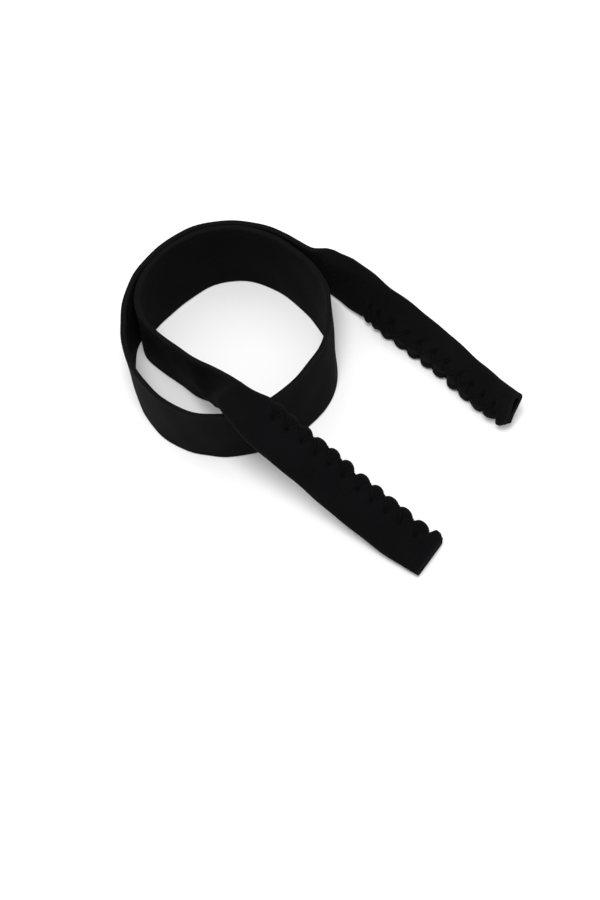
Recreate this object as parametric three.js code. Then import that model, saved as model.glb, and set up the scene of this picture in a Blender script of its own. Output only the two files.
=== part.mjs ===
// Eyeglass retainer strap: one flat strip of jersey-faced foam rubber that stands on its long edge,
// coiled one and a quarter turns. Each end is folded lengthwise and sewn into a sleeve for a temple arm.
// Millimetres, +Z up. The sleeves run along +X, and the origin is at the middle of the base.
import * as THREE from 'three';

// Driving dimensions.
const STRAP_WIDTH = 28;
const CORE_THICKNESS = 1.0;
const FACING_THICKNESS = 0.25;
const BOND_LINE = 0.05;
const LOOP_RADIUS = 2.2;
const SEAM_HALF_GAP = 0.97;
const SEAM_WIDTH = 5;
const THREAD_RADIUS = 0.25;
const THREAD_LIFT = 0.32;
const THREAD_SIDES = 5;
const STITCH_PITCH = 5.8;
const JOIN_GAP = 0.3;
const UPRIGHT_SHARE = 0.75;
const SLEEVES_TO_X_DEG = 40;

// The route of the strap's middle line, from the front sleeve's mouth to the rear sleeve's mouth.
// Each row: x, y, z, lean of the crease to the left of the route, fold on each side of the crease, how far
// above the middle line the crease runs, how far the section is turned from square, and the share of its width
// that is gathered in. Angles are in degrees.
const ROUTE = [
  [61.1, -82.4, 3.2, 0, 90, 0, 0, 0],
  [49.6, -74.4, 4.6, 0, 90, 0, 0, 0],
  [38.6, -66.8, 9.4, 0, 90, 0, 0, 0],
  [25.6, -58.8, 18.2, 0, 90, 0, 0, 0],
  [12.6, -51.4, 27.2, 0, 90, 0, 0, 0],
  [5.0, -46.2, 31.6, 0, 90, 0, 6, 0.02],
  [1.3, -42.4, 32.2, 0, 88, 0, 14, 0.12],
  [-1.2, -37.8, 31.0, 0, 80, 0, 16, 0.22],
  [-3.7, -28.8, 20.6, 6, 38, 0, 8, 0.2],
  [-7.3, -21.9, 15.9, 12, 20, 0, 4, 0.06],
  [-12.2, -14.4, 14.4, 10, 3, 0, 0, 0],
  [-17.8, -8.2, 14.0, 10, 0, 0, 0, 0],
  [-23.8, -2.8, 14.0, 8, 0, 0, 0, 0],
  [-27.8, 3.0, 14.0, 4, 0, 0, 0, 0],
  [-28.8, 10.0, 14.0, 3, 0, 0, 0, 0],
  [-26.2, 16.8, 14.0, 6, 0, 0, 0, 0],
  [-22.2, 23.0, 14.0, 8, 0, 0, 0, 0],
  [-16.2, 29.2, 14.0, 8, 0, 0, 0, 0],
  [-8.4, 34.8, 14.0, 5, 0, 0, 0, 0],
  [0.4, 37.2, 14.0, 1, 0, 0, 0, 0],
  [9.4, 35.9, 14.0, -1, 0, 0, 0, 0],
  [17.8, 31.3, 14.0, 0, 0, 0, 0, 0],
  [24.8, 24.7, 14.0, 0, 0, 0, 0, 0],
  [30.4, 17.0, 14.0, 0, 0, 0, 0, 0],
  [33.8, 8.2, 14.0, -2, 0, 0, 0, 0],
  [34.6, -1.4, 14.0, -5, 0, 0, 0, 0],
  [33.4, -10.8, 14.0, -7, 0, 0, 0, 0],
  [29.2, -18.8, 14.0, -6, 0, 0, 0, 0],
  [23.4, -26.2, 14.0, -3, 0, 0, 0, 0],
  [16.0, -32.2, 14.0, 1, 0, 0, 0, 0],
  [7.2, -36.4, 14.0, 5, 0, 0, 0, 0],
  [-2.4, -38.0, 14.0, 8, 0, 6, 0, 0],
  [-11.8, -36.2, 14.0, 8, 0, 12.5, 0, 0],
  [-20.2, -30.8, 14.0, 7, 0, 12.5, 0, 0],
  [-26.8, -22.4, 14.0, 6, 0, 12.5, 0, 0],
  [-30.8, -12.6, 14.0, 6, 0, 12.5, 0, 0],
  [-32.6, -2.4, 14.0, 4, 0, 12.5, 0, 0],
  [-32.0, 8.2, 14.0, 3, 0, 12.5, 0, 0],
  [-28.4, 17.4, 14.0, 6, 0, 12.5, 0, 0],
  [-23.6, 24.4, 14.0, 8, 0, 12.5, 0, 0],
  [-17.3, 30.9, 14.0, 8, 0, 12.5, 0, 0],
  [-8.9, 36.7, 14.0, 5, 0, 12.5, 0, 0],
  [0.8, 39.2, 14.0, 1, 0, 12.5, 0, 0],
  [10.4, 37.9, 14.0, 0, 0, 12.5, 0, 0],
  [19.4, 34.2, 14.0, -2, 0, 12.5, 0, 0],
  [27.4, 30.6, 14.0, -8, 2, 12.5, 0, 0],
  [31.7, 30.0, 14.0, 30, 42, 12.3, 0, 0],
  [35.4, 28.2, 14.0, 64, 74, 10.6, 0, 0],
  [41.0, 26.2, 14.6, 94, 86, 6.6, 0, 0],
  [47.5, 25.4, 13.6, 123, 90, 2.6, 0, 0],
  [53.9, 24.0, 10.6, 144, 90, 0.3, 0, 0],
  [60.8, 20.6, 7.6, 159, 90, 0, 0, 0],
  [68.0, 14.4, 5.2, 170, 90, 0, 0, 0],
  [76.2, 6.6, 3.9, 178, 90, 0, 0, 0],
  [83.6, -2.5, 4.2, 176, 90, 0, 3, 0],
  [90.0, -12.9, 8.5, 152, 90, 0, 14, 0],
  [94.6, -22.8, 15.0, 118, 90, 0, 18, 0],
];

// Where the route changes from one stretch to the next, as row numbers of ROUTE.
const STRETCHES = [
  { name: 'front_sleeve', from: 0, to: 5, fold: 1, samples: 2 },
  { name: 'front_neck', from: 5, to: 11, fold: 1, samples: 3 },
  { name: 'inner_turn', from: 11, to: 27, fold: 1, samples: 2 },
  { name: 'outer_turn', from: 27, to: 45, fold: -1, samples: 2 },
  { name: 'rear_neck', from: 45, to: 50, fold: -1, samples: 3 },
  { name: 'rear_sleeve', from: 50, to: 56, fold: -1, samples: 2 },
];

// Where a section's points lie, as shares of the way from its crease to an edge.
const FLAT_STEPS = [0, 1];
const FOLDED_STEPS = [0, 0.08, 0.16, 0.25, 0.44, 0.64, 1];

const LAYERS = [
  { suffix: 'outer_facing', low: CORE_THICKNESS / 2 + BOND_LINE, colour: 0x111113, roughness: 0.92 },
  { suffix: 'core', low: -CORE_THICKNESS / 2, colour: 0x0b0b0c, roughness: 0.98 },
  {
    suffix: 'inner_facing',
    low: -CORE_THICKNESS / 2 - BOND_LINE - FACING_THICKNESS,
    colour: 0x101012,
    roughness: 0.94,
  },
];

const radians = THREE.MathUtils.degToRad;
const UP = new THREE.Vector3(0, 0, 1);
const lastRow = ROUTE.length - 1;
const places = new THREE.CatmullRomCurve3(ROUTE.map(([x, y, z]) => new THREE.Vector3(x, y, z)));
const turns = new THREE.CatmullRomCurve3(ROUTE.map((row) => new THREE.Vector3(row[3], row[4], row[5])));
const shapes = new THREE.CatmullRomCurve3(ROUTE.map((row) => new THREE.Vector3(row[6], row[7], 0)));

// The strap's local axes at a row number, which may lie between two rows.
function frameAt(row) {
  const point = places.getPoint(row / lastRow);
  const turn = turns.getPoint(row / lastRow);
  const shape = shapes.getPoint(row / lastRow);
  const along = places.getTangent(row / lastRow).applyAxisAngle(UP, radians(shape.x));
  const left = new THREE.Vector3().crossVectors(UP, along).normalize();
  const rise = new THREE.Vector3().crossVectors(along, left).lerp(UP, UPRIGHT_SHARE).normalize();
  const lean = radians(turn.x);
  const across = rise.clone().multiplyScalar(Math.cos(lean)).addScaledVector(left, Math.sin(lean));
  const outward = left.clone().multiplyScalar(Math.cos(lean)).addScaledVector(rise, -Math.sin(lean));
  const fold = radians(THREE.MathUtils.clamp(turn.y, 0, 90));
  const half = (STRAP_WIDTH / 2) * (1 - Math.max(0, shape.y));
  return { point, across, outward, fold, crease: Math.max(0, turn.z), half };
}

// How far one half of the strap has turned, at a distance from the middle line. It goes round a loop,
// closes towards the seam and runs straight in it.
function headingAt(distance, fold) {
  const bendLength = (LOOP_RADIUS * Math.PI) / 2;
  const closed = fold / (Math.PI / 2);
  const drop = LOOP_RADIUS - SEAM_HALF_GAP;
  const closingLength = STRAP_WIDTH / 2 - SEAM_WIDTH - bendLength;
  const closing = Math.asin(Math.min(1, drop / closingLength)) * closed;
  if (distance < bendLength) return (distance / bendLength) * fold;
  if (distance < bendLength + closingLength) return fold + closing;
  return fold;
}

// Points of the strap's middle surface across one section, from the lower edge over the crease to the upper edge.
function sectionAt(row, foldSide, steps) {
  const { point, across, outward, fold, crease, half } = frameAt(row);
  const start = point.clone().addScaledVector(across, crease * Math.cos(fold));
  start.addScaledVector(outward, crease * foldSide * Math.sin(fold));
  const halfPoints = (side) => {
    const points = [];
    let run = 0;
    let dip = 0;
    let distance = 0;
    for (const share of steps) {
      const step = share * (half - side * crease);
      const slices = 12;
      for (let i = 0; i < slices; i += 1) {
        const heading = headingAt(distance + (step - distance) * ((i + 0.5) / slices), fold);
        run += (Math.cos(heading) * (step - distance)) / slices;
        dip += (Math.sin(heading) * (step - distance)) / slices;
      }
      distance = step;
      const heading = headingAt(step, fold);
      const place = start.clone().addScaledVector(across, side * run).addScaledVector(outward, -foldSide * dip);
      const normal = outward.clone().multiplyScalar(Math.cos(heading));
      normal.addScaledVector(across, side * foldSide * Math.sin(heading));
      points.push({ place, normal });
    }
    return points;
  };
  const upper = halfPoints(1);
  const lower = halfPoints(-1).reverse();
  return lower.concat(upper.slice(1));
}

// A closed solid between two offsets from the middle surface, through a list of sections.
function layerGeometry(sections, low, high) {
  const count = sections[0].length;
  const positions = [];
  for (const section of sections) {
    for (const { place, normal } of section) positions.push(...place.clone().addScaledVector(normal, high).toArray());
    for (const { place, normal } of section) positions.push(...place.clone().addScaledVector(normal, low).toArray());
  }
  const index = [];
  const quad = (a, b, c, d) => index.push(a, b, c, a, c, d);
  const at = (station, side, i) => station * count * 2 + side * count + i;
  const last = sections.length - 1;
  for (let s = 0; s < last; s += 1) {
    for (let i = 0; i < count - 1; i += 1) {
      quad(at(s, 0, i), at(s, 0, i + 1), at(s + 1, 0, i + 1), at(s + 1, 0, i));
      quad(at(s, 1, i), at(s + 1, 1, i), at(s + 1, 1, i + 1), at(s, 1, i + 1));
    }
    quad(at(s, 1, 0), at(s, 0, 0), at(s + 1, 0, 0), at(s + 1, 1, 0));
    quad(at(s, 0, count - 1), at(s, 1, count - 1), at(s + 1, 1, count - 1), at(s + 1, 0, count - 1));
  }
  for (let i = 0; i < count - 1; i += 1) {
    quad(at(0, 0, i + 1), at(0, 0, i), at(0, 1, i), at(0, 1, i + 1));
    quad(at(last, 0, i), at(last, 0, i + 1), at(last, 1, i + 1), at(last, 1, i));
  }
  const geometry = new THREE.BufferGeometry();
  geometry.setAttribute('position', new THREE.Float32BufferAttribute(positions, 3));
  geometry.setIndex(index);
  geometry.computeVertexNormals();
  return geometry;
}

// Row numbers through a stretch, drawn in a little at both ends so that neighbours keep a gap.
function rowsThrough({ from, to, samples }) {
  const length = (a, b) => places.getPoint(a / lastRow).distanceTo(places.getPoint(b / lastRow));
  const first = from === 0 ? 0 : from + JOIN_GAP / 2 / length(from, from + 1);
  const end = to === lastRow ? lastRow : to - JOIN_GAP / 2 / length(to - 1, to);
  const steps = (to - from) * samples;
  return Array.from({ length: steps + 1 }, (_, i) => first + ((end - first) * i) / steps);
}

function strapMesh(stretch, layer) {
  const folded = stretch.name.includes('neck') || stretch.name.includes('sleeve');
  const steps = folded ? FOLDED_STEPS : FLAT_STEPS;
  const sections = rowsThrough(stretch).map((row) => sectionAt(row, stretch.fold, steps));
  const thickness = layer.suffix === 'core' ? CORE_THICKNESS : FACING_THICKNESS;
  const geometry = layerGeometry(sections, layer.low, layer.low + thickness);
  const material = new THREE.MeshStandardMaterial({ color: layer.colour, roughness: layer.roughness });
  const mesh = new THREE.Mesh(geometry, material);
  mesh.name = `${stretch.name}_${layer.suffix}`;
  return mesh;
}

// A closed tube with flat ends through a list of points.
function tubeGeometry(points, radius, sides) {
  const positions = [];
  const index = [];
  let side = new THREE.Vector3(0, 0, 1);
  points.forEach((point, i) => {
    const before = points[Math.max(0, i - 1)];
    const after = points[Math.min(points.length - 1, i + 1)];
    const along = after.clone().sub(before).normalize();
    side = side.clone().addScaledVector(along, -side.dot(along)).normalize();
    const other = new THREE.Vector3().crossVectors(along, side);
    for (let k = 0; k < sides; k += 1) {
      const angle = (k / sides) * 2 * Math.PI;
      const corner = point.clone().addScaledVector(side, radius * Math.cos(angle));
      positions.push(...corner.addScaledVector(other, radius * Math.sin(angle)).toArray());
    }
  });
  const last = (points.length - 1) * sides;
  for (let k = 0; k < sides; k += 1) {
    const next = (k + 1) % sides;
    for (let ring = 0; ring < last; ring += sides) {
      index.push(ring + k, ring + next, ring + sides + next, ring + k, ring + sides + next, ring + sides + k);
    }
    if (k > 0 && k < sides - 1) index.push(0, next, k, last, last + k, last + next);
  }
  const geometry = new THREE.BufferGeometry();
  geometry.setAttribute('position', new THREE.Float32BufferAttribute(positions, 3));
  geometry.setIndex(index);
  geometry.computeVertexNormals();
  return geometry;
}

// The overedge thread: it winds round both plies of the seam, out past their edges and back.
function threadMesh(stretch, name, fromRow, toRow) {
  const seamPoint = (row, inset, side) => {
    const section = sectionAt(row, stretch.fold, FOLDED_STEPS);
    const edge = side > 0 ? section[section.length - 1] : section[0];
    const inner = side > 0 ? section[section.length - 2] : section[1];
    const inward = inner.place.clone().sub(edge.place).normalize();
    const lift = CORE_THICKNESS / 2 + BOND_LINE + FACING_THICKNESS + THREAD_LIFT + THREAD_RADIUS;
    return edge.place.clone().addScaledVector(inward, inset).addScaledVector(edge.normal, lift * stretch.fold);
  };
  const length = places.getPoint(fromRow / lastRow).distanceTo(places.getPoint(toRow / lastRow));
  const loops = Math.round(length / STITCH_PITCH);
  const overhang = -THREAD_RADIUS - THREAD_LIFT;
  const wrap = [
    [0, SEAM_WIDTH - 1.6, 1],
    [0.24, overhang, 1],
    [0.26, overhang, -1],
    [0.5, SEAM_WIDTH - 1.6, -1],
    [0.74, overhang, -1],
    [0.76, overhang, 1],
  ];
  const points = [];
  for (let loop = 0; loop < loops; loop += 1) {
    for (const [phase, inset, side] of wrap) {
      points.push(seamPoint(fromRow + ((toRow - fromRow) * (loop + phase)) / loops, inset, side));
    }
  }
  const geometry = tubeGeometry(points, THREAD_RADIUS, THREAD_SIDES);
  const material = new THREE.MeshStandardMaterial({ color: 0x0e0e10, roughness: 0.75 });
  const mesh = new THREE.Mesh(geometry, material);
  mesh.name = name;
  return mesh;
}

const strap = new THREE.Group();
for (const stretch of STRETCHES) {
  for (const layer of LAYERS) strap.add(strapMesh(stretch, layer));
}
strap.add(threadMesh(STRETCHES[0], 'front_seam_thread', 0.2, 4.8));
strap.add(threadMesh(STRETCHES[5], 'rear_seam_thread', 55.8, 50.4));
strap.rotation.z = radians(SLEEVES_TO_X_DEG);

const group = new THREE.Group();
group.add(strap);
const bounds = new THREE.Box3().setFromObject(group, true);
const middle = bounds.getCenter(new THREE.Vector3());
strap.position.set(-middle.x, -middle.y, -bounds.min.z);

export default group;
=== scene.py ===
# Eyeglass retainer strap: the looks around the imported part.
import math

import bpy
import numpy as np
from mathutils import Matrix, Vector


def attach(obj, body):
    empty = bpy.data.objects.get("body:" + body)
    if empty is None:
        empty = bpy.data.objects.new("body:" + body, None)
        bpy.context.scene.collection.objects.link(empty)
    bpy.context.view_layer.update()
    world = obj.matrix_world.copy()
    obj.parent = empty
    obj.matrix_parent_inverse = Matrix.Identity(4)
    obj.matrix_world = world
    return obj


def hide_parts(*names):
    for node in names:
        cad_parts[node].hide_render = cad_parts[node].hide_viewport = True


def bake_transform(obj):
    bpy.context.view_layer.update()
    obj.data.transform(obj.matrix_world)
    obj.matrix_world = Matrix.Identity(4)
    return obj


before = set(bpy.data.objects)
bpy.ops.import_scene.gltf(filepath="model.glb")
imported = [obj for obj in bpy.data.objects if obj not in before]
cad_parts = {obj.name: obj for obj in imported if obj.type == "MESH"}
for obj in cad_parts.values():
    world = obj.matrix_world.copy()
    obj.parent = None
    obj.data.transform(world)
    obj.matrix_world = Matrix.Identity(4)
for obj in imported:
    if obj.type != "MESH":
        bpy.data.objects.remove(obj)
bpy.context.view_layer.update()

# Driving sizes shared with the solid model, in millimetres and degrees.
STRAP_WIDTH = 28.0
HALF_THICKNESS = 0.8
FACING_DEPTH = 0.25
LOOP_RADIUS = 2.2
SEAM_HALF_GAP = 0.97
SEAM_WIDTH = 5.0
UPRIGHT_SHARE = 0.75
SLEEVES_TO_X_DEG = 40.0
STRAP_SHIFT = (-31.6720, -8.3502, 0.0228)

# Sizes of the looks alone, in millimetres: from one stitch to the next, from the cut edge to the needle holes,
# the thread's radius, and the length over which a fold's turn eases in and out.
STITCH_PITCH = 5.9
SEAM_INSET = 4.9
THREAD_RADIUS = 0.24
FOLD_EASE = 0.8

# The tighter fold at the front mouth, and the rows of the route over which it eases to LOOP_RADIUS.
MOUTH_LOOP_RADIUS = 1.25
MOUTH_LOOP_ROWS = 1.8

# Where the stitches are: millimetres from the mouth to the first one, the length of the seam that has none in
# all, how far one may stray, and the row of the route where the rear seam starts.
FIRST_STITCH = 8.1
SEAM_FREE_LENGTH = 8.7
STITCH_STRAY = 0.65
REAR_SEAM_STARTS_AT = 48.6

# The lobes of the gathered edge: reach and pull in millimetres, the share by which they vary, the power that
# rounds them, and the heights of the mouth's tab and of the plain end as shares of a lobe's.
LOBE_REACH = 1.9
LOBE_PULL = 1.25
LOBE_VARIES = 0.3
LOBE_ROUNDNESS = 0.55
MOUTH_TAB = 1.3
PLAIN_END = 0.66

# How far the sewing raises or sinks the faces, in millimetres.
PETAL_HEIGHT = 0.80
BETWEEN_HEIGHT = 0.26
NEEDLE_DENT = 1.25
THREAD_GROOVE = 0.60
FAN_DEPTH = 0.26

# The cut edges are rounded over this distance and by this depth, in millimetres.
EDGE_ROUND = 0.42
EDGE_ROUND_DEPTH = 0.2

# The painted highlight along the cut edges: how far it reaches in millimetres, and its strength at a mouth.
EDGE_HIGHLIGHT_REACH = 0.45
MOUTH_HIGHLIGHT = 0.35

# A stitch is two strands side by side, these millimetres off its middle. Each strand's points from a needle
# hole to the cut edge are a share of the way and a height over the face; the first lies in the foam.
STRANDS = (-0.26, 0.26)
THREAD_SITS = THREAD_RADIUS * 0.75
THREAD_LINE = (
    (0.02, -0.3),
    (0.08, 0.0),
    (0.2, THREAD_SITS),
    (0.4, THREAD_SITS),
    (0.6, THREAD_SITS),
    (0.8, THREAD_SITS),
    (0.94, THREAD_SITS),
)

# How far a strand stands off the cut edge, how far each ply's strand crosses it from the middle, and the
# length at the seam's inner end that has no thread, in millimetres.
THREAD_OVER_EDGE = 0.34
PLIES_CROSS_APART = 0.15
SEAM_TAIL = 4.0

# The middle line's route, from the front sleeve's mouth to the rear sleeve's mouth. Each row: x, y, z, lean
# of the crease, fold on each side of it, height of the crease above the middle line, turn of the section, and
# the share of its width that is gathered in. In rows 1 to 5 the flared sleeve leans, and lies up to 1.4 mm
# aside of the solid's route.
ROUTE = np.array([
    [61.1, -82.4, 3.2, 0, 90, 0, 0, 0],
    [49.5, -74.6, 4.6, 6, 90, 0, 0, 0],
    [38.2, -67.4, 9.4, 10, 90, 0, 0, 0],
    [25.0, -59.7, 18.2, 10, 90, 0, 0, 0],
    [11.8, -52.5, 27.2, 8, 90, 0, 0, 0],
    [4.5, -47.0, 31.6, 2, 90, 0, 6, 0.02],
    [1.3, -42.4, 32.2, 0, 88, 0, 14, 0.12],
    [-1.2, -37.8, 31.0, 0, 80, 0, 16, 0.22],
    [-3.7, -28.8, 20.6, 6, 38, 0, 8, 0.2],
    [-7.3, -21.9, 15.9, 12, 20, 0, 4, 0.06],
    [-12.2, -14.4, 14.4, 10, 3, 0, 0, 0],
    [-17.8, -8.2, 14.0, 10, 0, 0, 0, 0],
    [-23.8, -2.8, 14.0, 8, 0, 0, 0, 0],
    [-27.8, 3.0, 14.0, 4, 0, 0, 0, 0],
    [-28.8, 10.0, 14.0, 3, 0, 0, 0, 0],
    [-26.2, 16.8, 14.0, 6, 0, 0, 0, 0],
    [-22.2, 23.0, 14.0, 8, 0, 0, 0, 0],
    [-16.2, 29.2, 14.0, 8, 0, 0, 0, 0],
    [-8.4, 34.8, 14.0, 5, 0, 0, 0, 0],
    [0.4, 37.2, 14.0, 1, 0, 0, 0, 0],
    [9.4, 35.9, 14.0, -1, 0, 0, 0, 0],
    [17.8, 31.3, 14.0, 0, 0, 0, 0, 0],
    [24.8, 24.7, 14.0, 0, 0, 0, 0, 0],
    [30.4, 17.0, 14.0, 0, 0, 0, 0, 0],
    [33.8, 8.2, 14.0, -2, 0, 0, 0, 0],
    [34.6, -1.4, 14.0, -5, 0, 0, 0, 0],
    [33.4, -10.8, 14.0, -7, 0, 0, 0, 0],
    [29.2, -18.8, 14.0, -6, 0, 0, 0, 0],
    [23.4, -26.2, 14.0, -3, 0, 0, 0, 0],
    [16.0, -32.2, 14.0, 1, 0, 0, 0, 0],
    [7.2, -36.4, 14.0, 5, 0, 0, 0, 0],
    [-2.4, -38.0, 14.0, 8, 0, 6, 0, 0],
    [-11.8, -36.2, 14.0, 8, 0, 12.5, 0, 0],
    [-20.2, -30.8, 14.0, 7, 0, 12.5, 0, 0],
    [-26.8, -22.4, 14.0, 6, 0, 12.5, 0, 0],
    [-30.8, -12.6, 14.0, 6, 0, 12.5, 0, 0],
    [-32.6, -2.4, 14.0, 4, 0, 12.5, 0, 0],
    [-32.0, 8.2, 14.0, 3, 0, 12.5, 0, 0],
    [-28.4, 17.4, 14.0, 6, 0, 12.5, 0, 0],
    [-23.6, 24.4, 14.0, 8, 0, 12.5, 0, 0],
    [-17.3, 30.9, 14.0, 8, 0, 12.5, 0, 0],
    [-8.9, 36.7, 14.0, 5, 0, 12.5, 0, 0],
    [0.8, 39.2, 14.0, 1, 0, 12.5, 0, 0],
    [10.4, 37.9, 14.0, 0, 0, 12.5, 0, 0],
    [19.4, 34.2, 14.0, -2, 0, 12.5, 0, 0],
    [27.4, 30.6, 14.0, -8, 2, 12.5, 0, 0],
    [31.7, 30.0, 14.0, 30, 42, 12.3, 0, 0],
    [35.4, 28.2, 14.0, 64, 74, 10.6, 0, 0],
    [41.0, 26.2, 14.6, 94, 86, 6.6, 0, 0],
    [47.5, 25.4, 13.6, 123, 90, 2.6, 0, 0],
    [53.9, 24.0, 10.6, 144, 90, 0.3, 0, 0],
    [60.8, 20.6, 7.6, 159, 90, 0, 0, 0],
    [68.0, 14.4, 5.2, 170, 90, 0, 0, 0],
    [76.2, 6.6, 3.9, 178, 90, 0, 0, 0],
    [83.6, -2.5, 4.2, 176, 90, 0, 3, 0],
    [90.0, -12.9, 8.5, 152, 90, 0, 14, 0],
    [94.6, -22.8, 15.0, 118, 90, 0, 18, 0],
])

# The route rows of each stretch, and the row past which the strap folds to its other side.
FRONT_SLEEVE = (0, 5)
FRONT_NECK = (5, 11)
RING = (11, 45)
REAR_NECK = (45, 50)
REAR_SLEEVE = (50, 56)
FOLD_TURNS_AT = 28

# Where the ends flare or narrow: the row, and the width there as a share of the strap's.
FLARE_ROWS = (0, 1.2, 4.6, 6.2, 48.5, 50.5, 52.5, 54.5, 56)
FLARE_SHARES = (1.04, 1.18, 1.18, 1.0, 1.0, 1.08, 1.02, 0.94, 0.88)


def smooth(x, low, high):
    """A soft step from 0 at low to 1 at high."""
    t = np.clip((x - low) / (high - low), 0.0, 1.0)
    return t * t * (3 - 2 * t)


def catmull(table, rows):
    """Centripetal Catmull-Rom through a table's rows, at fractional row numbers."""
    last = len(table) - 1
    i = np.minimum(rows.astype(int), last - 1)
    w = (rows - i)[:, None]
    padded = np.vstack([2 * table[0] - table[1], table, 2 * table[-1] - table[-2]])
    p0, p1, p2, p3 = padded[i], padded[i + 1], padded[i + 2], padded[i + 3]
    d0, d1, d2 = (np.linalg.norm(b - a, axis=1) ** 0.5 for a, b in ((p0, p1), (p1, p2), (p2, p3)))
    d1 = np.where(d1 < 1e-4, 1.0, d1)[:, None]
    d0 = np.where(d0 < 1e-4, d1[:, 0], d0)[:, None]
    d2 = np.where(d2 < 1e-4, d1[:, 0], d2)[:, None]
    t1 = ((p1 - p0) / d0 - (p2 - p0) / (d0 + d1) + (p2 - p1) / d1) * d1
    t2 = ((p2 - p1) / d1 - (p3 - p1) / (d1 + d2) + (p3 - p2) / d2) * d1
    return p1 + t1 * w + (-3 * p1 + 3 * p2 - 2 * t1 - t2) * w ** 2 + (2 * p1 - 2 * p2 + t1 + t2) * w ** 3


def unit(v):
    """Vectors of length 1 in the same directions."""
    return v / np.linalg.norm(v, axis=-1, keepdims=True)


def frames(rows):
    """The strap's local axes and shape at fractional row numbers."""
    last = len(ROUTE) - 1
    point = catmull(ROUTE[:, :3], rows)
    lean, fold, crease = catmull(ROUTE[:, 3:6], rows).T
    turn, gather = catmull(np.column_stack([ROUTE[:, 6:8], np.zeros(len(ROUTE))]), rows)[:, :2].T
    step = 1e-4 * last
    ahead = catmull(ROUTE[:, :3], np.minimum(rows + step, last))
    behind = catmull(ROUTE[:, :3], np.maximum(rows - step, 0))
    x, y, z = unit(ahead - behind).T
    c, s = np.cos(np.radians(turn)), np.sin(np.radians(turn))
    along = np.column_stack([x * c - y * s, x * s + y * c, z])
    up = np.array([0.0, 0.0, 1.0])
    left = unit(np.cross(up, along))
    rise = np.cross(along, left)
    rise = unit(rise + (up - rise) * UPRIGHT_SHARE)
    lean = np.radians(lean)[:, None]
    across = rise * np.cos(lean) + left * np.sin(lean)
    outward = left * np.cos(lean) - rise * np.sin(lean)
    fold = np.radians(np.clip(fold, 0, 90))
    half = STRAP_WIDTH / 2 * (1 - np.maximum(0, gather)) * np.interp(rows, FLARE_ROWS, FLARE_SHARES)
    return point, across, outward, fold, np.maximum(0, crease), half


def heading(distance, fold, radius):
    """How far one half has turned at a distance from the crease: round the loop, then closing to the seam."""
    bend = radius * math.pi / 2
    closing_length = STRAP_WIDTH / 2 - SEAM_WIDTH - bend
    closing = np.arcsin((radius - SEAM_HALF_GAP) / closing_length) * fold / (math.pi / 2)
    seam = bend + closing_length
    after_bend = smooth(distance, bend - FOLD_EASE, bend + FOLD_EASE)
    reach = after_bend - smooth(distance, seam - FOLD_EASE, seam + FOLD_EASE)
    return np.minimum(distance / bend, 1.0) * fold + closing * reach


# Where a section's points lie, as shares of the way from its crease to an edge: close together round the
# loop, in the seam and at the rounded cut edge.
SHARES = np.concatenate([
    np.linspace(0, 0.25, 9)[:-1],
    np.linspace(0.25, 0.62, 8)[:-1],
    np.linspace(0.62, 0.975, 14)[:-1],
    [0.975, 0.985, 0.994, 1.0],
])
COUNT = 2 * len(SHARES) - 1

# Steps along the curve from one point to the next.
SLICES = 6


def sections(rows):
    """Points and normals of the strap's middle surface, and each point's distance above the middle line."""
    point, across, outward, fold, crease, half = frames(rows)
    side_of_fold = np.where(rows < FOLD_TURNS_AT, 1.0, -1.0)
    radius = MOUTH_LOOP_RADIUS + (LOOP_RADIUS - MOUTH_LOOP_RADIUS) * smooth(rows, 0.0, MOUTH_LOOP_ROWS)
    start = point + across * (crease * np.cos(fold))[:, None]
    start = start + outward * (crease * side_of_fold * np.sin(fold))[:, None]
    places, normals, heights = [], [], []
    for side in (-1, 1):
        reach = SHARES[None, :] * (half - side * crease)[:, None]
        spots = [start]
        turned = [np.zeros(len(rows))]
        spot = start
        for j in range(1, len(SHARES)):
            a, b = reach[:, j - 1], reach[:, j]
            for k in range(SLICES):
                h = heading(a + (b - a) * (k + 0.5) / SLICES, fold, radius)
                length = ((b - a) / SLICES)[:, None]
                spot = spot + across * side * np.cos(h)[:, None] * length
                spot = spot - outward * (side_of_fold * np.sin(h))[:, None] * length
            spots.append(spot)
            turned.append(heading(b, fold, radius))
        spots = np.stack(spots, axis=1)
        h = np.stack(turned, axis=1)[..., None]
        tipped = across[:, None] * side * side_of_fold[:, None, None]
        normal = outward[:, None] * np.cos(h) + tipped * np.sin(h)
        if side < 0:
            spots, normal, reach = spots[:, ::-1], normal[:, ::-1], reach[:, ::-1]
        else:
            spots, normal, reach = spots[:, 1:], normal[:, 1:], reach[:, 1:]
        places.append(spots)
        normals.append(normal)
        heights.append(crease[:, None] + side * reach)
    return np.concatenate(places, 1), np.concatenate(normals, 1), np.concatenate(heights, 1)


def turned_to_model(directions):
    """Directions along the route's axes, turned to the part's frame."""
    a = math.radians(SLEEVES_TO_X_DEG)
    x = directions[..., 0] * math.cos(a) - directions[..., 1] * math.sin(a)
    y = directions[..., 0] * math.sin(a) + directions[..., 1] * math.cos(a)
    return np.stack([x, y, directions[..., 2]], axis=-1)


def to_model(points):
    """From the route's axes in millimetres to the part's frame in metres."""
    return (turned_to_model(points) + np.array(STRAP_SHIFT)) / 1000


def rows_through(span, spacing):
    """Row numbers through a span at an even spacing along the middle line."""
    fine = np.linspace(span[0], span[1], 400 + 40 * (span[1] - span[0]))
    steps = np.linalg.norm(np.diff(catmull(ROUTE[:, :3], fine), axis=0), axis=1)
    run = np.concatenate([[0], np.cumsum(steps)])
    rows = np.interp(np.linspace(0, run[-1], max(2, round(run[-1] / spacing) + 1)), run, fine)
    rows[0], rows[-1] = span
    return rows


def jitter(i, salt):
    """A fixed unevenness from -1 to 1 for the i-th stitch."""
    value = np.sin(i * 12.9898 + salt * 78.233) * 43758.5453
    return 2 * (value - np.floor(value)) - 1


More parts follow.
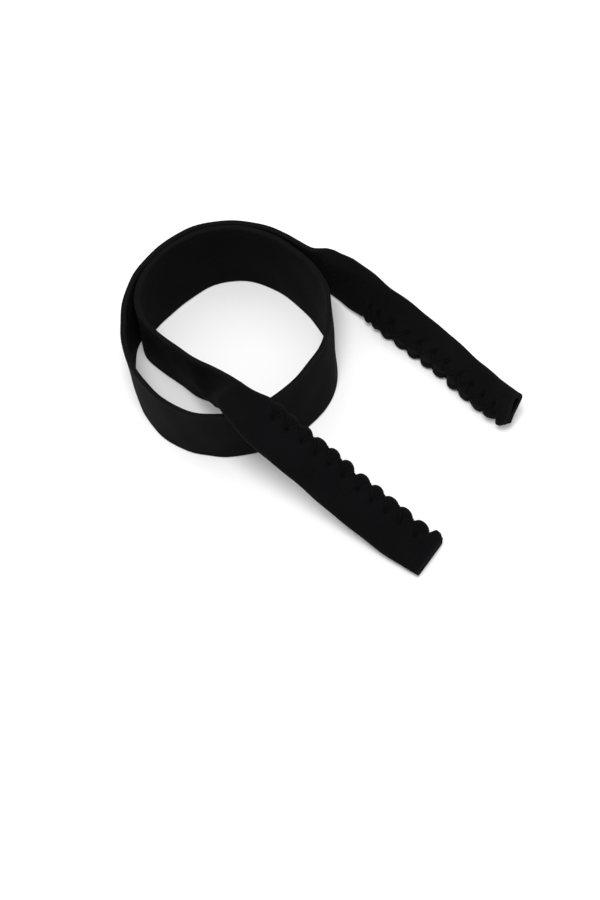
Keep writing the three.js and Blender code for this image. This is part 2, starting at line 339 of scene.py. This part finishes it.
def softened(values, times):
    """Evens out small kinks along the strap, keeping the two ends."""
    for _ in range(times):
        values[1:-1] = (values[:-2] + 2 * values[1:-1] + values[2:]) / 4
    return values


# Each stretch's route rows and the spacing of its sections in millimetres.
SPANS = {
    "front_sleeve": (FRONT_SLEEVE, 0.42),
    "front_neck": (FRONT_NECK, 0.6),
    "ring": (RING, 1.1),
    "rear_neck": (REAR_NECK, 0.6),
    "rear_sleeve": (REAR_SLEEVE, 0.42),
}

# Every section's route row, and each stretch's first and last section.
all_rows, breaks = [], {}
for name, (span, spacing) in SPANS.items():
    rows = rows_through(span, spacing)
    first = sum(len(r) for r in all_rows) - (1 if all_rows else 0)
    all_rows.append(rows if not all_rows else rows[1:])
    breaks[name] = (first, first + len(rows) - 1)
all_rows = np.concatenate(all_rows)
middle, normal, height = sections(all_rows)
middle = softened(middle, 6)
normal = unit(softened(normal, 6))

# The front neck, where the fold opens, is evened out further, together with a little on each side of it.
first, last = breaks["front_neck"]
around_neck = slice(first - 8, last + 6)
middle[around_neck] = softened(middle[around_neck], 24)
normal[around_neck] = unit(softened(normal[around_neck], 24))

# Distances along the middle line and along a cut edge.
run = np.concatenate([[0], np.cumsum(np.linalg.norm(np.diff(middle[:, COUNT // 2], axis=0), axis=1))])
seam_run = np.concatenate([[0], np.cumsum(np.linalg.norm(np.diff(middle[:, -1], axis=0), axis=1))])

# The seams draw the two plies together: a lobe at each stitch, a dent at each needle hole and a groove under
# each thread. edge_shift moves a point towards its cut edge, and swell moves it off the plain laminate.
rear_seam_first = int(np.searchsorted(all_rows, REAR_SEAM_STARTS_AT))
SEAMS = {"front_sleeve": breaks["front_sleeve"], "rear_sleeve": (rear_seam_first, breaks["rear_sleeve"][1])}
edge_distance = np.minimum(height - height[:, :1], height[:, -1:] - height)
edge_shift = np.zeros_like(height)
swell = np.zeros_like(height)
stitches = {}
for name, mouth_first in (("front_sleeve", True), ("rear_sleeve", False)):
    first, last = SEAMS[name]
    along = seam_run[first:last + 1] - seam_run[first]
    length = along[-1]
    if not mouth_first:
        along = length - along
    numbers = np.arange(int((length - SEAM_FREE_LENGTH) / STITCH_PITCH) + 1)
    at = FIRST_STITCH + STITCH_PITCH * numbers + STITCH_STRAY * jitter(numbers, 1 if mouth_first else 2)
    stitches[name] = (at, along)
    present = smooth(length - along, 0.5, 5.0)[:, None]
    nearest = np.abs(along[:, None] - at[None, :])
    which = nearest.argmin(axis=1)
    gap = nearest.min(axis=1)
    share = np.clip(gap / (STITCH_PITCH / 2), 0, 1)
    lobe = np.cos(share * math.pi / 2) ** LOBE_ROUNDNESS
    strength = 1 + LOBE_VARIES * jitter(which, 3)

    # Between the mouth and the first stitch is a rounded tab, and past the last stitch the edge runs plain.
    sewn_from = at[0] - STITCH_PITCH / 2
    sewn_to = at[-1] + STITCH_PITCH / 2
    tab = along < sewn_from
    to_mouth = 1 - along[tab] / sewn_from
    lobe[tab] = MOUTH_TAB * smooth(to_mouth, -0.03, 0.35) * (1 - 0.4 * smooth(to_mouth, 0.6, 1.0))
    strength[tab] = 1
    beyond = along > sewn_to
    lobe[beyond] = PLAIN_END * smooth(along[beyond] - sewn_to, -0.1, 1.6)
    strength[beyond] = 1

    d = edge_distance[first:last + 1]
    inward = smooth(8.5 - d, 0.0, 7.5)
    edge_shift[first:last + 1] = inward * ((lobe * LOBE_REACH - LOBE_PULL) * strength)[:, None] * present

    # The thread runs in a zigzag between the needle holes and the cut edge; diagonal is the distance off it.
    diagonal = (d - SEAM_INSET * (1 - share[:, None])) / math.hypot(1, 2 * SEAM_INSET / STITCH_PITCH)
    near_seam = smooth(SEAM_INSET + 0.6 - d, 0.0, 0.8)

    # The foam bulges on both sides of the thread, sinks at the needle holes and under the thread, and folds
    # fan out from each hole.
    petal = PETAL_HEIGHT * smooth(-diagonal, 0.1, 1.5) * smooth(d, -0.3, 1.6) * strength[:, None]
    between = BETWEEN_HEIGHT * smooth(diagonal, 0.1, 1.3) * smooth(SEAM_INSET + 2.2 - d, 0.0, 2.5)
    dent = NEEDLE_DENT * np.exp(-(gap[:, None] / 0.85) ** 2 - ((d - SEAM_INSET) / 0.95) ** 2)
    groove = THREAD_GROOVE * np.exp(-(diagonal / 0.5) ** 2) * near_seam
    fans = FAN_DEPTH * np.cos(math.pi * share)[:, None] * smooth(d, SEAM_INSET - 0.2, SEAM_INSET + 1.2)
    fans = fans * np.exp(-np.maximum(0, d - SEAM_INSET) / 2.2)
    stitched = np.where((tab | beyond)[:, None], 0.0, 1.0) * present
    swell[first:last + 1] = (petal + between - dent - groove - fans) * stitched

tangent_across = unit(np.gradient(middle, axis=1))
upper = np.arange(COUNT)[None, :, None] > COUNT // 2
middle = middle + tangent_across * np.where(upper, 1, -1) * edge_shift[..., None]

# A slow unevenness keeps the foam from looking machined.
wander = 0.10 * np.sin(run[:, None] * 0.21 + height * 0.33)
wander = wander + 0.07 * np.sin(run[:, None] * 0.47 - height * 0.19 + 1.3)
middle = middle + normal * (wander * smooth(run, 0, 12)[:, None])[..., None]

# The plies' outer sides carry the swell; the outside of a fold is the outer face in front and the inner
# face at the rear.
rounding = (1 - np.clip(edge_distance / EDGE_ROUND, 0, 1)) ** 2 * EDGE_ROUND_DEPTH
thickness = HALF_THICKNESS - rounding
in_front = (all_rows < FOLD_TURNS_AT)[:, None]
outer = middle + normal * (thickness + np.where(in_front, swell, 0))[..., None]
inner = middle - normal * (thickness + np.where(in_front, 0, swell))[..., None]


def grid_normals(points):
    """Normals of a grid of points, all on the same side of it."""
    return unit(np.cross(np.gradient(points, axis=1), np.gradient(points, axis=0)))


flip = (grid_normals(outer) * normal).sum() < 0
turn_out = -1 if flip else 1
outer_normal = turn_out * grid_normals(outer)
inner_normal = -turn_out * grid_normals(inner)


def node(tree, kind, **settings):
    """A new shader node with its settings."""
    made = tree.nodes.new(kind)
    for key, value in settings.items():
        setattr(made, key, value)
    return made


def jersey(name, dark, light, wale, lean):
    """Fine knitted jersey: columns of small slanted stitches, with lint, sheen and a painted highlight along
    the cut edges.
    """
    material = bpy.data.materials.new(name)
    material.use_nodes = True
    tree = material.node_tree
    link = tree.links.new
    shader = tree.nodes["Principled BSDF"]
    cut = node(tree, "ShaderNodeUVMap", uv_map="cut")
    parts = node(tree, "ShaderNodeSeparateXYZ")
    link(cut.outputs[0], parts.inputs[0])

    def maths(operation, a, b=None):
        made = node(tree, "ShaderNodeMath", operation=operation)
        for i, value in enumerate((a, b)):
            if value is None:
                continue
            if isinstance(value, (int, float)):
                made.inputs[i].default_value = value
            else:
                link(value, made.inputs[i])
        return made.outputs[0]

    column = maths("MULTIPLY", parts.outputs[1], 1 / wale)
    in_column = maths("ABSOLUTE", maths("SUBTRACT", maths("FRACT", column), 0.5))
    slant = maths("MULTIPLY", in_column, lean)
    course = maths("FRACT", maths("ADD", maths("MULTIPLY", parts.outputs[0], 1 / (wale * 0.82)), slant))
    loops = maths("SINE", maths("MULTIPLY", course, math.pi))
    ridge = maths("SINE", maths("MULTIPLY", maths("MULTIPLY", in_column, 2.0), math.pi))
    knit = maths("MULTIPLY", maths("POWER", loops, 0.7), maths("ADD", maths("MULTIPLY", ridge, 0.7), 0.3))

    fuzz = node(tree, "ShaderNodeTexNoise", noise_dimensions="3D")
    fuzz.inputs["Scale"].default_value = 2200
    fuzz.inputs["Detail"].default_value = 4
    patch = node(tree, "ShaderNodeTexNoise", noise_dimensions="3D")
    patch.inputs["Scale"].default_value = 70
    patch.inputs["Detail"].default_value = 3
    place = node(tree, "ShaderNodeTexCoord")
    link(place.outputs["Object"], fuzz.inputs["Vector"])
    link(place.outputs["Object"], patch.inputs["Vector"])

    # Paler towards the cut edges and at the mouths: a painted highlight.
    painted_highlight = node(tree, "ShaderNodeAttribute", attribute_name="painted_highlight")
    tone = maths("ADD", maths("MULTIPLY", knit, 0.35), maths("MULTIPLY", fuzz.outputs["Fac"], 0.45))
    tone = maths("ADD", tone, maths("MULTIPLY", patch.outputs["Fac"], 0.3))
    tone = maths("ADD", tone, maths("MULTIPLY", painted_highlight.outputs["Fac"], 1.1))
    ramp = node(tree, "ShaderNodeValToRGB")
    ramp.color_ramp.elements[0].position = 0.25
    ramp.color_ramp.elements[0].color = (*dark, 1)
    ramp.color_ramp.elements[1].position = 0.95
    ramp.color_ramp.elements[1].color = (*light, 1)
    link(tone, ramp.inputs[0])
    link(ramp.outputs[0], shader.inputs["Base Color"])
    rough = node(tree, "ShaderNodeMapRange")
    rough.inputs["To Min"].default_value = 0.86
    rough.inputs["To Max"].default_value = 0.98
    link(fuzz.outputs["Fac"], rough.inputs["Value"])
    link(rough.outputs[0], shader.inputs["Roughness"])
    shader.inputs["Specular IOR Level"].default_value = 0.03
    shader.inputs["Sheen Weight"].default_value = 0.008
    shader.inputs["Sheen Roughness"].default_value = 0.45
    shader.inputs["Sheen Tint"].default_value = (0.82, 0.84, 0.9, 1)

    lumps = maths("ADD", maths("MULTIPLY", knit, 0.6), maths("MULTIPLY", fuzz.outputs["Fac"], 0.5))
    bump = node(tree, "ShaderNodeBump")
    bump.inputs["Strength"].default_value = 0.55
    bump.inputs["Distance"].default_value = 0.00008
    link(lumps, bump.inputs["Height"])
    link(bump.outputs[0], shader.inputs["Normal"])
    return material


def grained(name, dark, light, scale, roughness, bump_depth, specular):
    """A matte material with a fine grain: the foam's cut cells, the spun thread or the paper floor."""
    material = bpy.data.materials.new(name)
    material.use_nodes = True
    tree = material.node_tree
    link = tree.links.new
    shader = tree.nodes["Principled BSDF"]
    place = node(tree, "ShaderNodeTexCoord")
    grain = node(tree, "ShaderNodeTexNoise", noise_dimensions="3D")
    grain.inputs["Scale"].default_value = scale
    grain.inputs["Detail"].default_value = 5
    cells = node(tree, "ShaderNodeTexVoronoi")
    cells.inputs["Scale"].default_value = scale * 1.6
    ramp = node(tree, "ShaderNodeValToRGB")
    ramp.color_ramp.elements[0].position = 0.3
    ramp.color_ramp.elements[0].color = (*dark, 1)
    ramp.color_ramp.elements[1].position = 0.75
    ramp.color_ramp.elements[1].color = (*light, 1)
    bump = node(tree, "ShaderNodeBump")
    bump.inputs["Strength"].default_value = 0.5
    bump.inputs["Distance"].default_value = bump_depth
    link(place.outputs["Object"], grain.inputs["Vector"])
    link(place.outputs["Object"], cells.inputs["Vector"])
    link(grain.outputs["Fac"], ramp.inputs[0])
    link(ramp.outputs[0], shader.inputs["Base Color"])
    link(cells.outputs["Distance"], bump.inputs["Height"])
    link(bump.outputs[0], shader.inputs["Normal"])
    shader.inputs["Roughness"].default_value = roughness
    shader.inputs["Specular IOR Level"].default_value = specular
    return material


# The knit's column width in millimetres, and the slant of its stitches.
WALE = 0.5
SLANT = 1.4
# The inner jersey is painted lighter than the outer: a painted fill that lifts the shade on the faces turned
# inward.
OUTER_JERSEY = jersey("outer_jersey", (0.0007, 0.0007, 0.0008), (0.0058, 0.0057, 0.0065), WALE, SLANT)
INNER_JERSEY = jersey("inner_jersey", (0.0008, 0.0008, 0.0009), (0.0062, 0.0061, 0.0069), WALE, -SLANT)
FOAM = grained("foam", (0.0022, 0.0022, 0.0024), (0.0075, 0.0075, 0.008), 3000, 0.95, 0.00006, 0.03)
THREAD = grained("thread", (0.001, 0.001, 0.0012), (0.0058, 0.0058, 0.0064), 5000, 0.8, 0.00004, 0.05)
FLOOR = grained("floor", (0.86, 0.86, 0.86), (0.88, 0.88, 0.88), 40, 0.9, 0.00001, 0.1)


def strap_piece(name, first, last):
    """One stretch of the laminate as a closed mesh: two jersey faces, with foam at the cut edges and ends."""
    n = last - first + 1
    o, i = outer[first:last + 1], inner[first:last + 1]
    rim = {}
    for j, direction in ((0, -1), (COUNT - 1, 1)):
        rim[j] = middle[first:last + 1, j] + direction * 0.05 * tangent_across[first:last + 1, j]
    facing = HALF_THICKNESS - FACING_DEPTH
    caps = {}
    for s in (0, n - 1):
        k = first + s
        caps[s] = [middle[k] + normal[k] * facing, middle[k] - normal[k] * facing]
    points = np.concatenate([o.reshape(-1, 3), i.reshape(-1, 3), rim[0], rim[COUNT - 1],
                             *(side for s in (0, n - 1) for side in caps[s])])
    cap_at = 2 * n * COUNT + 2 * n

    def top(s, j):
        return s * COUNT + j

    def low(s, j):
        return n * COUNT + s * COUNT + j

    def mid(s, j):
        return 2 * n * COUNT + (0 if j == 0 else n) + s

    def cap(s, layer, j):
        if j in (0, COUNT - 1):
            return top(s, j) if layer == 0 else low(s, j)
        return cap_at + (0 if s == 0 else 2 * COUNT) + layer * COUNT + j

    faces, slots = [], []

    def face(corners, slot):
        kept = [c for a, c in enumerate(corners) if c != corners[a - 1]]
        if len(kept) > 2:
            faces.append(kept)
            slots.append(slot)

    for s in range(n - 1):
        for j in range(COUNT - 1):
            face([top(s, j), top(s, j + 1), top(s + 1, j + 1), top(s + 1, j)], 0)
            face([low(s, j), low(s + 1, j), low(s + 1, j + 1), low(s, j + 1)], 1)
        face([mid(s, 0), top(s, 0), top(s + 1, 0), mid(s + 1, 0)], 2)
        face([low(s, 0), mid(s, 0), mid(s + 1, 0), low(s + 1, 0)], 2)
        e = COUNT - 1
        face([top(s, e), mid(s, e), mid(s + 1, e), top(s + 1, e)], 2)
        face([mid(s, e), low(s, e), low(s + 1, e), mid(s + 1, e)], 2)
    for s in (0, n - 1):
        for j in range(COUNT - 1):
            a = [top(s, j), top(s, j + 1), cap(s, 0, j + 1), cap(s, 0, j)]
            b = [cap(s, 0, j), cap(s, 0, j + 1), cap(s, 1, j + 1), cap(s, 1, j)]
            if j == 0:
                b = [cap(s, 0, 0), cap(s, 0, 1), cap(s, 1, 1), cap(s, 1, 0), mid(s, 0)]
            if j == COUNT - 2:
                b = [cap(s, 0, j), cap(s, 0, j + 1), mid(s, COUNT - 1), cap(s, 1, j + 1), cap(s, 1, j)]
            c = [cap(s, 1, j), cap(s, 1, j + 1), low(s, j + 1), low(s, j)]
            for corners, slot in ((a, 0), (b, 2), (c, 1)):
                face(corners[::-1] if s == 0 else corners, slot)
    used = sorted({c for f in faces for c in f})
    renumber = {c: k for k, c in enumerate(used)}
    faces = [[renumber[c] for c in (f if not flip else f[::-1])] for f in faces]

    mesh = bpy.data.meshes.new(name)
    mesh.from_pydata(to_model(points[used]).tolist(), [], faces)
    for material in (OUTER_JERSEY, INNER_JERSEY, FOAM):
        mesh.materials.append(material)
    mesh.polygons.foreach_set("material_index", slots)
    mesh.polygons.foreach_set("use_smooth", [True] * len(faces))

    # Texture coordinates in millimetres: along the strap and above its middle line.
    h = height[first:last + 1]
    r = np.repeat(run[first:last + 1, None], COUNT, axis=1)
    flat = np.zeros((len(points), 2))
    # The painted highlight is strongest at the cut edges, the rims and the ends.
    painted_highlight = np.zeros(len(points))
    for offset in (0, n * COUNT):
        flat[offset:offset + n * COUNT] = np.stack([r, h], -1).reshape(-1, 2)
        painted_highlight[offset:offset + n * COUNT] = np.exp(-edge_distance[first:last + 1] / EDGE_HIGHLIGHT_REACH).reshape(-1)
    for j in (0, COUNT - 1):
        a = 2 * n * COUNT + (0 if j == 0 else n)
        flat[a:a + n] = np.stack([r[:, j], h[:, j]], -1)
        painted_highlight[a:a + n] = 1
    painted_highlight[cap_at:] = 1
    for s, a in ((0, cap_at), (n - 1, cap_at + 2 * COUNT)):
        for layer in (0, 1):
            flat[a + layer * COUNT:a + (layer + 1) * COUNT] = np.stack([r[s] + layer, h[s]], -1)
    # A sleeve's mouth gets a band of painted highlight too.
    if name.endswith("sleeve"):
        from_mouth = run[first:last + 1] - run[first]
        if name == "rear_sleeve":
            from_mouth = run[last] - run[first:last + 1]
        near = np.repeat(MOUTH_HIGHLIGHT * np.exp(-from_mouth / EDGE_HIGHLIGHT_REACH), COUNT)
        for offset in (0, n * COUNT):
            painted_highlight[offset:offset + n * COUNT] = np.maximum(painted_highlight[offset:offset + n * COUNT], near)
    layer = mesh.uv_layers.new(name="cut")
    corner_points = np.empty(len(mesh.loops), dtype=int)
    mesh.loops.foreach_get("vertex_index", corner_points)
    layer.uv.foreach_set("vector", flat[used][corner_points].reshape(-1))
    attribute = mesh.attributes.new("painted_highlight", "FLOAT", "POINT")
    attribute.data.foreach_set("value", painted_highlight[used])

    # The neighbours share their normals, so that the strap shades as one piece.
    normals = np.zeros((len(points), 3))
    normals[:n * COUNT] = outer_normal[first:last + 1].reshape(-1, 3)
    normals[n * COUNT:2 * n * COUNT] = inner_normal[first:last + 1].reshape(-1, 3)
    mesh.update()
    corner_counts = [len(f) for f in faces]
    face_slots = np.repeat(np.array(slots), corner_counts)
    face_normals = np.repeat(np.array([p.normal[:] for p in mesh.polygons]), corner_counts, axis=0)
    shared_normals = turned_to_model(normals)[used][corner_points]
    corner_normals = np.where(face_slots[:, None] == 2, face_normals, shared_normals)
    blank = np.linalg.norm(corner_normals, axis=1) < 0.5
    corner_normals[blank] = face_normals[blank]
    mesh.normals_split_custom_set(corner_normals.tolist())
    piece = bpy.data.objects.new(name, mesh)
    bpy.context.scene.collection.objects.link(piece)
    return piece


pieces = {name: strap_piece(name, *breaks[name]) for name in SPANS}


def in_model(x, y, z):
    """One place of the route's axes in the part's frame."""
    return tuple(to_model(np.array([x, y, z], dtype=float)))


LAYERS = ("outer_facing", "core", "inner_facing")
# Each sleeve and the ring are attached to a body of the part; the necks are left unattached.
bodies = {"front_sleeve": "front_sleeve", "ring": "band", "rear_sleeve": "rear_sleeve"}
for name, body in bodies.items():
    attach(pieces[name], body)
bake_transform(pieces["front_neck"])
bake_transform(pieces["rear_neck"])
for name, piece in pieces.items():
    stretches = ("inner_turn", "outer_turn") if name == "ring" else (name,)
    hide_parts(*(f"{stretch}_{layer}" for stretch in stretches for layer in LAYERS))
    first, last = breaks[name]


def section_at(name, at):
    """The fractional number of the section at a distance along a seam from its mouth."""
    first, last = SEAMS[name]
    _, along = stitches[name]
    order = np.argsort(along)
    return np.interp(at, along[order], np.arange(first, last + 1)[order])


def surface_point(name, at, inset, side, lift):
    """A point over the seam: at a distance along it, in from the edge, on one ply, lifted off it."""
    k = section_at(name, at)
    low, w = int(k), k - int(k)
    high = min(low + 1, SEAMS[name][1])
    shell, shell_normal = (outer, outer_normal) if name == "front_sleeve" else (inner, inner_normal)
    found = []
    for s in (low, high):
        distance = edge_distance[s]
        js = np.arange(COUNT // 2, COUNT) if side > 0 else np.arange(COUNT // 2, -1, -1)
        j = np.interp(inset, distance[js][::-1], js[::-1])
        j0 = int(np.floor(j))
        j1 = min(j0 + 1, COUNT - 1)
        v = j - j0
        spot = shell[s, j0] * (1 - v) + shell[s, j1] * v
        out = shell_normal[s, j0] * (1 - v) + shell_normal[s, j1] * v
        found.append(spot + out * lift)
    return found[0] * (1 - w) + found[1] * w


def edge_point(name, at, side, outside):
    """A point just outside the cut edges: between the plies where they meet, else by the ply's own edge."""
    k = int(round(float(section_at(name, at))))
    both = (middle[k, 0] + middle[k, -1]) / 2
    own = middle[k, -1 if side > 0 else 0]
    away = unit((tangent_across[k, -1] - tangent_across[k, 0])[None])[0]
    apart = smooth(np.linalg.norm(own - both), 1.2, 2.4)
    return both + (own - both) * apart + away * outside


def tube(points, radius, sides=6):
    """Vertices and faces of a closed tube through a list of points."""
    points = np.array(points)
    ahead = unit(np.gradient(points, axis=0))
    vertices, faces = [], []
    side = np.array([0.3, 0.2, 1.0])
    for k, point in enumerate(points):
        side = side - ahead[k] * side.dot(ahead[k])
        side = side / np.linalg.norm(side)
        other = np.cross(ahead[k], side)
        for q in range(sides):
            angle = 2 * math.pi * q / sides
            vertices.append(point + radius * (side * math.cos(angle) + other * math.sin(angle)))
    for k in range(len(points) - 1):
        for q in range(sides):
            a, b = k * sides + q, k * sides + (q + 1) % sides
            faces.append([a, b, b + sides, a + sides])
    last = (len(points) - 1) * sides
    faces.append(list(range(sides))[::-1])
    faces.append([last + q for q in range(sides)])
    return vertices, faces


def eased(points, steps):
    """More points on a rounded line through the given ones."""
    table = np.array(points)
    return catmull(table, np.linspace(0, len(table) - 1, (len(table) - 1) * steps + 1))


def strand(name, before, after, side, beside):
    """One strand of a stitch on one ply: from a needle hole over the cut edge and back to the next hole."""
    line = []
    for t, lift in THREAD_LINE:
        at = before + 0.5 * t * (after - before) + beside * t
        line.append(surface_point(name, at, SEAM_INSET * (1 - t), side, lift))
    over_edge_at = (before + after) / 2 + side * PLIES_CROSS_APART + beside
    line.append(edge_point(name, over_edge_at, side, THREAD_OVER_EDGE))
    for t, lift in reversed(THREAD_LINE):
        at = after - 0.5 * t * (after - before) + beside * t
        line.append(surface_point(name, at, SEAM_INSET * (1 - t), side, lift))
    return line


def seam_thread(name, stretch):
    """The part of a seam's zigzag thread that lies on one stretch of the strap."""
    at, along = stitches[name]
    vertices, faces = [], []
    for before, after in zip(at[:-1], at[1:]):
        on = section_at(name, (before + after) / 2)
        if not breaks[stretch][0] <= on < breaks[stretch][1] or after > along.max() - SEAM_TAIL:
            continue
        for side in (1, -1):
            for beside in STRANDS:
                v, f = tube(eased(strand(name, before, after, side, beside), 2), THREAD_RADIUS)
                base = len(vertices)
                vertices.extend(v)
                faces.extend([[c + base for c in corners] for corners in f])
    mesh = bpy.data.meshes.new(stretch + "_thread")
    mesh.from_pydata(to_model(np.array(vertices)).tolist(), [], faces)
    mesh.polygons.foreach_set("use_smooth", [True] * len(faces))
    mesh.materials.append(THREAD)
    piece = bpy.data.objects.new(stretch + "_thread_stitches", mesh)
    bpy.context.scene.collection.objects.link(piece)
    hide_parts(name.replace("sleeve", "seam") + "_thread")
    return piece


for name in ("front_sleeve", "rear_sleeve"):
    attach(seam_thread(name, name), name)
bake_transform(seam_thread("rear_sleeve", "rear_neck"))

# The floor, in metres, just under the strap.
FLOOR_REACH = 3
FLOOR_Z = -0.0002
floor_corners = [(x * FLOOR_REACH, y * FLOOR_REACH, FLOOR_Z) for x, y in ((-1, -1), (1, -1), (1, 1), (-1, 1))]
floor_mesh = bpy.data.meshes.new("floor")
floor_mesh.from_pydata(floor_corners, [], [[0, 1, 2, 3]])
floor_mesh.materials.append(FLOOR)
floor = bpy.data.objects.new("floor", floor_mesh)
bpy.context.scene.collection.objects.link(floor)

# Soft white light from everywhere, a key light in front and a fill behind.
world = bpy.data.worlds.new("soft_studio")
world.use_nodes = True
world.node_tree.nodes["Background"].inputs["Color"].default_value = (1.0, 1.0, 1.0, 1)
world.node_tree.nodes["Background"].inputs["Strength"].default_value = 0.76
bpy.context.scene.world = world


def area_light(name, place, target, size, power):
    """A round area light at a place, turned to a target."""
    data = bpy.data.lights.new(name, "AREA")
    data.shape = "DISK"
    data.size = size
    data.energy = power
    light = bpy.data.objects.new(name, data)
    light.location = place
    light.rotation_euler = (Vector(target) - Vector(place)).to_track_quat("-Z", "Y").to_euler()
    bpy.context.scene.collection.objects.link(light)


area_light("key", in_model(-40, -330, 850), in_model(20, -20, 0), 0.35, 5.8)
area_light("fill", in_model(-420, 380, 620), in_model(20, -20, 0), 0.9, 1.5)

# The camera looks at AIM, in the route's axes, from this height angle and distance in millimetres.
AIM = (24.0, -34.0, 0.0)
VIEW_ELEVATION = math.radians(56)
VIEW_DISTANCE = 685.0
camera_data = bpy.data.cameras.new("camera")
camera_data.lens = 84
camera_data.sensor_width = 36
camera_data.clip_start = 0.01
camera_data.clip_end = 20
camera = bpy.data.objects.new("camera", camera_data)
back = VIEW_DISTANCE * math.cos(VIEW_ELEVATION)
rise = VIEW_DISTANCE * math.sin(VIEW_ELEVATION)
place = in_model(AIM[0], AIM[1] - back, rise)
camera.location = place
camera.rotation_euler = (Vector(in_model(*AIM)) - Vector(place)).to_track_quat("-Z", "Y").to_euler()
bpy.context.scene.collection.objects.link(camera)
bpy.context.scene.camera = camera
bpy.context.scene.view_settings.view_transform = "Standard"
